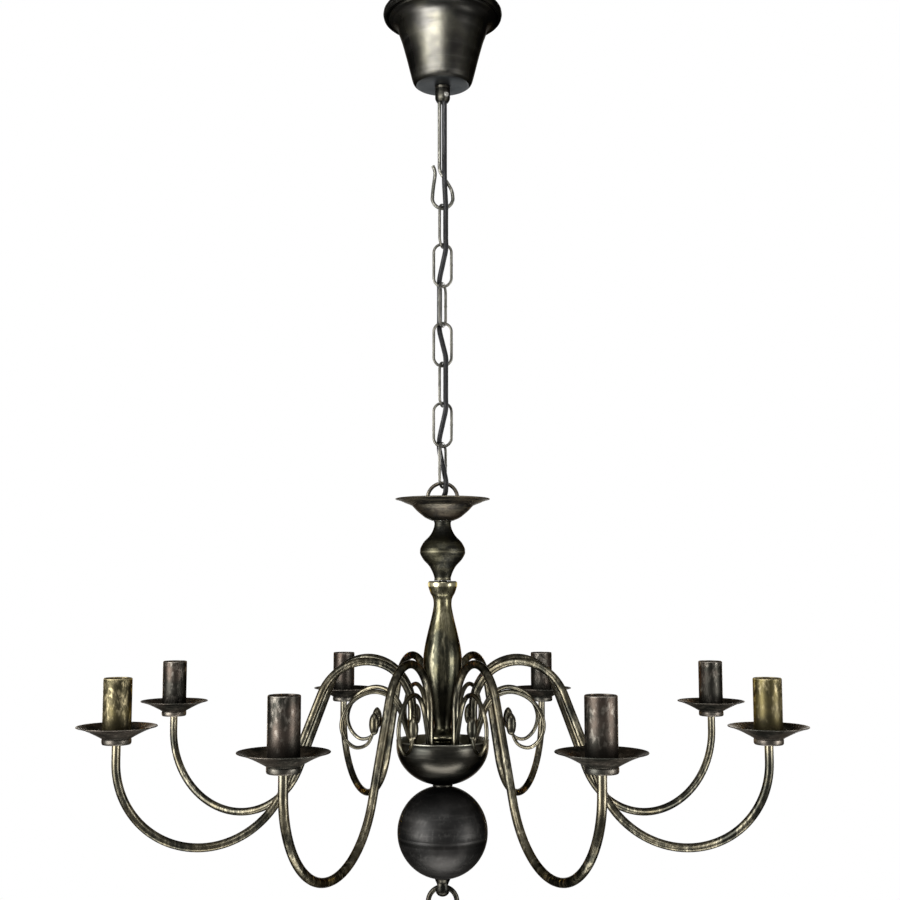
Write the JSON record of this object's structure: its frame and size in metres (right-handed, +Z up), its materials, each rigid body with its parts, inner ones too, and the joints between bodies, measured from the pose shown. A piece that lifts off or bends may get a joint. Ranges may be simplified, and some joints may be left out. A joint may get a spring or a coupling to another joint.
{
  "type": "chain-hung chandelier",
  "caption": "Chandelier with curved arms round a turned column, hung on a chain from a bell canopy, with a drip cup and candle sleeve on each arm.",
  "frame": {"origin": "on the ceiling, at the middle of the bracket's top face, on the lamp's own axis", "axes": "+Z up along the column's axis, -Y towards the lamp's front, +X to the right seen from there"},
  "size_m": [0.6642, 0.6642, 0.9372],
  "materials": {
    "canopy_metal": "spun steel, antique black lacquer with brushed gold streaks round it",
    "collar_metal": "antique black lacquer over brass, brushed, edges rubbed to old gold",
    "loop_metal": "antique black lacquer over brass, brushed, edges rubbed to old gold",
    "dish_metal": "antique black lacquer over brass, brushed, edges rubbed to old gold",
    "spindle_metal": "antique black lacquer over brass, brushed, edges rubbed to old gold",
    "baluster_metal": "antique black lacquer over brass, brushed, edges rubbed to old gold",
    "plate_metal": "antique black lacquer over brass, brushed, edges rubbed to old gold",
    "bowl_metal": "antique black lacquer over brass, brushed, edges rubbed to old gold",
    "ball_metal": "spun steel, satin antique black with faint bands round it",
    "finial_metal": "antique black lacquer over brass, brushed, edges rubbed to old gold",
    "ring_metal": "antique black lacquer over brass, brushed, edges rubbed to old gold",
    "arm_metal": "antique black lacquer over brass, brushed, edges rubbed to old gold",
    "cup_metal": "antique black lacquer over brass, brushed, edges rubbed to old gold",
    "sleeve_metal": "thin metal sleeve, sponged dark patina over old gold",
    "bronze_wire": "bronzed round wire, worn bright on its bends",
    "chain_wire": "bronzed round wire, worn bright where the links meet",
    "tube_steel": "zinc-plated threaded tube",
    "screw_steel": "bright zinc-plated screw",
    "zinc_plate": "zinc-plated pressed steel",
    "cable_sheath": "smooth black sheath",
    "terminal_plastic": "moulded white insulation",
    "holder_plastic": "moulded black heat-resistant plastic"
  },
  "bodies": {
    "ceiling_fixing": {"ceiling_bracket": "zinc_plate", "hook": "bronze_wire", "hook_nut": "zinc_plate", "terminal_block": "terminal_plastic", "cable_in_canopy": "cable_sheath"},
    "canopy": {"canopy": "canopy_metal", "canopy_collar": "collar_metal"},
    "set_screw": {"canopy_set_screw": "screw_steel"},
    "chain": {"chain_link_1": "chain_wire", "chain_link_2": "chain_wire", "chain_link_3": "chain_wire", "chain_link_4": "chain_wire", "chain_link_5": "chain_wire", "chain_link_6": "chain_wire", "chain_link_7": "chain_wire", "cable_in_chain": "cable_sheath"},
    "lamp_frame": {"column_loop": "loop_metal", "central_tube": "tube_steel", "top_dish": "dish_metal", "bulb_spindle": "spindle_metal", "baluster": "baluster_metal", "hub_plate": "plate_metal", "clamp_plate": "zinc_plate", "hub_bowl": "bowl_metal", "lower_ball": "ball_metal", "finial_eye": "finial_metal", "cable_in_column": "cable_sheath", "arm_1": "arm_metal", "drip_cup_1": "cup_metal", "lamp_holder_1": "holder_plastic", "arm_2": "arm_metal", "drip_cup_2": "cup_metal", "lamp_holder_2": "holder_plastic", "arm_3": "arm_metal", "drip_cup_3": "cup_metal", "lamp_holder_3": "holder_plastic", "arm_4": "arm_metal", "drip_cup_4": "cup_metal", "lamp_holder_4": "holder_plastic", "arm_5": "arm_metal", "drip_cup_5": "cup_metal", "lamp_holder_5": "holder_plastic", "arm_6": "arm_metal", "drip_cup_6": "cup_metal", "lamp_holder_6": "holder_plastic", "arm_7": "arm_metal", "drip_cup_7": "cup_metal", "lamp_holder_7": "holder_plastic", "arm_8": "arm_metal", "drip_cup_8": "cup_metal", "lamp_holder_8": "holder_plastic"},
    "pull_ring": {"pull_ring": "ring_metal"},
    "sleeve_1": {"candle_sleeve_1": "sleeve_metal"},
    "sleeve_2": {"candle_sleeve_2": "sleeve_metal"},
    "sleeve_3": {"candle_sleeve_3": "sleeve_metal"},
    "sleeve_4": {"candle_sleeve_4": "sleeve_metal"},
    "sleeve_5": {"candle_sleeve_5": "sleeve_metal"},
    "sleeve_6": {"candle_sleeve_6": "sleeve_metal"},
    "sleeve_7": {"candle_sleeve_7": "sleeve_metal"},
    "sleeve_8": {"candle_sleeve_8": "sleeve_metal"}
  },
  "joints": [
    {"name": "canopy_slide", "type": "slide", "parent": "ceiling_fixing", "child": "canopy", "axis": [0, 0, -1], "range_m": [0, 0.052]},
    {"name": "set_screw_travel", "type": "slide", "parent": "canopy", "child": "set_screw", "axis": [0.454, -0.891, 0], "range_m": [0, 0.003]},
    {"name": "chain_swing", "type": "hinge", "parent": "ceiling_fixing", "child": "chain", "pos_m": [0, 0, -0.2174], "axis": [1, 0, 0], "range_deg": [-15, 15]},
    {"name": "lamp_swing", "type": "hinge", "parent": "chain", "child": "lamp_frame", "pos_m": [0, 0, -0.50995], "axis": [0.342, 0.9397, 0], "range_deg": [-15, 15]},
    {"name": "pull_ring_swing", "type": "hinge", "parent": "lamp_frame", "child": "pull_ring", "pos_m": [0, 0, -0.90653], "axis": [1, 0, 0], "range_deg": [-75, 75]},
    {"name": "sleeve_1_lift", "type": "slide", "parent": "lamp_frame", "child": "sleeve_1", "axis": [0, 0, 1], "range_m": [0, 0.055]},
    {"name": "sleeve_2_lift", "type": "slide", "parent": "lamp_frame", "child": "sleeve_2", "axis": [0, 0, 1], "range_m": [0, 0.055]},
    {"name": "sleeve_3_lift", "type": "slide", "parent": "lamp_frame", "child": "sleeve_3", "axis": [0, 0, 1], "range_m": [0, 0.055]},
    {"name": "sleeve_4_lift", "type": "slide", "parent": "lamp_frame", "child": "sleeve_4", "axis": [0, 0, 1], "range_m": [0, 0.055]},
    {"name": "sleeve_5_lift", "type": "slide", "parent": "lamp_frame", "child": "sleeve_5", "axis": [0, 0, 1], "range_m": [0, 0.055]},
    {"name": "sleeve_6_lift", "type": "slide", "parent": "lamp_frame", "child": "sleeve_6", "axis": [0, 0, 1], "range_m": [0, 0.055]},
    {"name": "sleeve_7_lift", "type": "slide", "parent": "lamp_frame", "child": "sleeve_7", "axis": [0, 0, 1], "range_m": [0, 0.055]},
    {"name": "sleeve_8_lift", "type": "slide", "parent": "lamp_frame", "child": "sleeve_8", "axis": [0, 0, 1], "range_m": [0, 0.055]}
  ]
}
